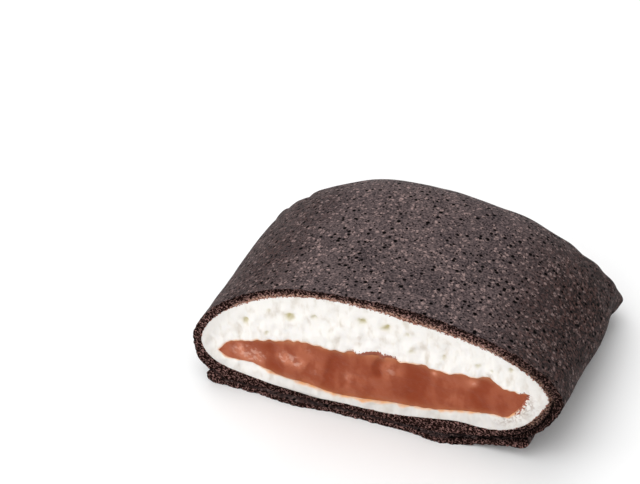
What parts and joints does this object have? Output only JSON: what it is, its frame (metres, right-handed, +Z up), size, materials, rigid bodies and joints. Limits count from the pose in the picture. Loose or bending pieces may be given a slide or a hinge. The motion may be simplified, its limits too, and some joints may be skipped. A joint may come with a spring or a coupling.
{
  "type": "folded cocoa crepe half",
  "caption": "Half of a folded cocoa crepe filled with whipped cream and a chocolate cream core, cut across to show its layers.",
  "frame": {"origin": "middle of the bounding box in X and Y, on the table under the bottom layer", "axes": "+X along the cut face, towards its taller end on the right; +Y from the cut face back to the closed end; +Z up"},
  "size_m": [0.08, 0.055, 0.0322],
  "materials": {
    "crepe": "matt dark cocoa crepe, pricked with small pores",
    "whipped_cream": "soft white whipped cream",
    "chocolate_cream": "satin milk chocolate cream"
  },
  "bodies": {
    "root": {"crepe": "crepe", "whipped_cream": "whipped_cream", "chocolate_cream": "chocolate_cream"}
  },
  "joints": []
}
